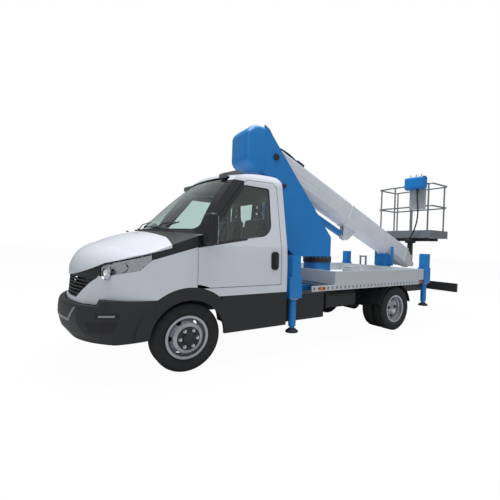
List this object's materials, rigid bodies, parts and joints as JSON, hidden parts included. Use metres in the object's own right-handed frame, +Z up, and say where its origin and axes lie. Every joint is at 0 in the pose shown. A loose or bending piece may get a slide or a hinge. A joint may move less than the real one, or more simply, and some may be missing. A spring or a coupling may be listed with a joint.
{
  "type": "cherry picker truck",
  "caption": "Light truck with a hollow cab, low bed, jacks at its corners and a slewing telescopic boom that carries a railed work basket behind it.",
  "frame": {"origin": "on the ground below the middle of the whole vehicle", "axes": "+X forward, +Y to the vehicle's left, +Z up"},
  "size_m": [6.7073, 2.44, 3.0386],
  "materials": {
    "white_paint": "gloss pale cool white paint",
    "blue_paint": "semi-gloss blue paint",
    "silver_paint": "semi-gloss pale silver-grey paint",
    "chassis_black": "satin black chassis paint",
    "bed_aluminium": "satin anodised aluminium",
    "basket_tube": "satin aluminium tube",
    "deck_white": "satin white deck",
    "black_plastic": "grained black plastic",
    "cabin_plastic": "fine grained dark grey plastic",
    "seat_cloth": "woven dark cloth",
    "grey_plastic": "light grey moulded plastic",
    "lamp": "clear lamp lens over a bright bowl",
    "glass": "green tinted glass",
    "tyre": "matt black rubber",
    "rim": "silver painted pressed steel",
    "steel": "ground steel",
    "cast": "dark cast iron",
    "chrome_rod": "hard chrome",
    "cable": "matt black rubber sheath"
  },
  "bodies": {
    "root": {"chassis_frame": "chassis_black", "front_suspension": "cast", "rear_axle": "cast", "engine": "cast", "side_boxes": "black_plastic", "mudguards": "black_plastic", "underrun_bar": "chassis_black", "outrigger_frame": "blue_paint", "slew_ring": "steel", "bed_deck": "deck_white", "bed_sides": "bed_aluminium", "cradle": "blue_paint", "cab_shell": "white_paint", "front_panel": "white_paint", "cowl": "black_plastic", "bumper": "black_plastic", "cladding": "black_plastic", "grille": "black_plastic", "headlamps": "lamp", "cab_glass": "glass", "dashboard": "cabin_plastic", "seats": "seat_cloth", "roof_pods": "grey_plastic"},
    "knuckle_left": {"knuckle_left": "cast"},
    "knuckle_right": {"knuckle_right": "cast"},
    "wheel_front_left": {"tyre_front_left": "tyre", "rim_front_left": "rim"},
    "wheel_front_right": {"tyre_front_right": "tyre", "rim_front_right": "rim"},
    "wheel_rear_left": {"tyres_rear_left": "tyre", "rims_rear_left": "rim"},
    "wheel_rear_right": {"tyres_rear_right": "tyre", "rims_rear_right": "rim"},
    "door_left": {"door_left": "white_paint", "door_glass_left": "glass", "door_fittings_left": "black_plastic"},
    "door_right": {"door_right": "white_paint", "door_glass_right": "glass", "door_fittings_right": "black_plastic"},
    "bonnet": {"bonnet": "white_paint"},
    "turret": {"turret_frame": "blue_paint", "turret_hood": "blue_paint"},
    "boom_outer": {"boom_outer": "silver_paint"},
    "boom_mid": {"boom_mid": "silver_paint"},
    "boom_inner": {"boom_inner": "silver_paint"},
    "lift_barrel": {"lift_barrel": "blue_paint"},
    "lift_rod": {"lift_rod": "chrome_rod"},
    "basket_mount": {"basket_mount": "chassis_black"},
    "basket": {"basket_frame": "chassis_black", "basket_floor": "basket_tube", "basket_rails": "basket_tube", "control_box": "blue_paint", "control_panel": "grey_plastic", "control_cable": "cable"},
    "jack_front_left": {"jack_front_left": "blue_paint"},
    "jack_front_right": {"jack_front_right": "blue_paint"},
    "jack_rear_left": {"jack_rear_left": "blue_paint"},
    "jack_rear_right": {"jack_rear_right": "blue_paint"}
  },
  "joints": [
    {"name": "steer_left", "type": "hinge", "parent": "root", "child": "knuckle_left", "pos_m": [2.28154, 0.735, 0.348], "axis": [0, 0, 1], "range_deg": [-35, 35]},
    {"name": "steer_right", "type": "hinge", "parent": "root", "child": "knuckle_right", "pos_m": [2.28154, -0.735, 0.348], "axis": [0, 0, 1], "range_deg": [-35, 35]},
    {"name": "spin_front_left", "type": "hinge", "parent": "knuckle_left", "child": "wheel_front_left", "pos_m": [2.28154, 0.865, 0.348], "axis": [0, 1, 0], "continuous": true},
    {"name": "spin_rear_left", "type": "hinge", "parent": "root", "child": "wheel_rear_left", "pos_m": [-1.16846, 0.77, 0.348], "axis": [0, 1, 0], "continuous": true},
    {"name": "open_door_left", "type": "hinge", "parent": "root", "child": "door_left", "pos_m": [2.19654, 0.992, 1.1], "axis": [0, 0, -1], "range_deg": [0, 70]},
    {"name": "spin_front_right", "type": "hinge", "parent": "knuckle_right", "child": "wheel_front_right", "pos_m": [2.28154, -0.865, 0.348], "axis": [0, 1, 0], "continuous": true},
    {"name": "spin_rear_right", "type": "hinge", "parent": "root", "child": "wheel_rear_right", "pos_m": [-1.16846, -0.77, 0.348], "axis": [0, 1, 0], "continuous": true},
    {"name": "open_door_right", "type": "hinge", "parent": "root", "child": "door_right", "pos_m": [2.19654, -0.992, 1.1], "axis": [0, 0, 1], "range_deg": [0, 70]},
    {"name": "open_bonnet", "type": "hinge", "parent": "root", "child": "bonnet", "pos_m": [2.28154, 0, 1.4], "axis": [0, -1, 0], "range_deg": [0, 50]},
    {"name": "boom_raise", "type": "hinge", "parent": "turret", "child": "boom_outer", "pos_m": [0.78154, 0, 2.6], "axis": [0, 1, 0], "range_deg": [0, 95]},
    {"name": "turret_slew", "type": "hinge", "parent": "root", "child": "turret", "pos_m": [-0.29846, 0, 1.16], "axis": [0, 0, 1], "range_deg": [0, 180]},
    {"name": "lift_swing", "type": "hinge", "parent": "turret", "child": "lift_barrel", "pos_m": [0.62154, 0, 2.2], "axis": [0, 1, 0], "range_deg": [0, 98]},
    {"name": "lift_stroke", "type": "slide", "parent": "lift_barrel", "child": "lift_rod", "axis": [-0.9173, 0, -0.3982], "range_m": [0, 0.64]},
    {"name": "telescope_mid", "type": "slide", "parent": "boom_outer", "child": "boom_mid", "axis": [-0.9225, 0, -0.3859], "range_m": [0, 2.6]},
    {"name": "telescope_inner", "type": "slide", "parent": "boom_mid", "child": "boom_inner", "axis": [-0.9225, 0, -0.3859], "range_m": [0, 2.6]},
    {"name": "basket_level", "type": "hinge", "parent": "boom_inner", "child": "basket_mount", "pos_m": [-3.02854, 0, 1.00621], "axis": [0, 1, 0], "range_deg": [-95, 0]},
    {"name": "basket_turn", "type": "hinge", "parent": "basket_mount", "child": "basket", "pos_m": [-3.02854, 0, 1.515], "axis": [0, 0, 1], "range_deg": [-90, 90]},
    {"name": "lower_jack_front_left", "type": "slide", "parent": "root", "child": "jack_front_left", "axis": [0, 0, -1], "range_m": [0, 0.4]},
    {"name": "lower_jack_front_right", "type": "slide", "parent": "root", "child": "jack_front_right", "axis": [0, 0, -1], "range_m": [0, 0.4]},
    {"name": "lower_jack_rear_left", "type": "slide", "parent": "root", "child": "jack_rear_left", "axis": [0, 0, -1], "range_m": [0, 0.4]},
    {"name": "lower_jack_rear_right", "type": "slide", "parent": "root", "child": "jack_rear_right", "axis": [0, 0, -1], "range_m": [0, 0.4]}
  ],
  "couplings": [
    {"joint": "steer_right", "follows": "steer_left", "ratio": 1},
    {"joint": "turret_slew", "follows": "boom_raise", "ratio": 1.8946},
    {"joint": "lift_swing", "follows": "boom_raise", "ratio": 1.0193},
    {"joint": "lift_stroke", "follows": "boom_raise", "m_per_rad": 0.38242},
    {"joint": "telescope_mid", "follows": "boom_raise", "m_per_rad": 1.5679},
    {"joint": "telescope_inner", "follows": "boom_raise", "m_per_rad": 1.5679},
    {"joint": "basket_level", "follows": "boom_raise", "ratio": -1}
  ]
}
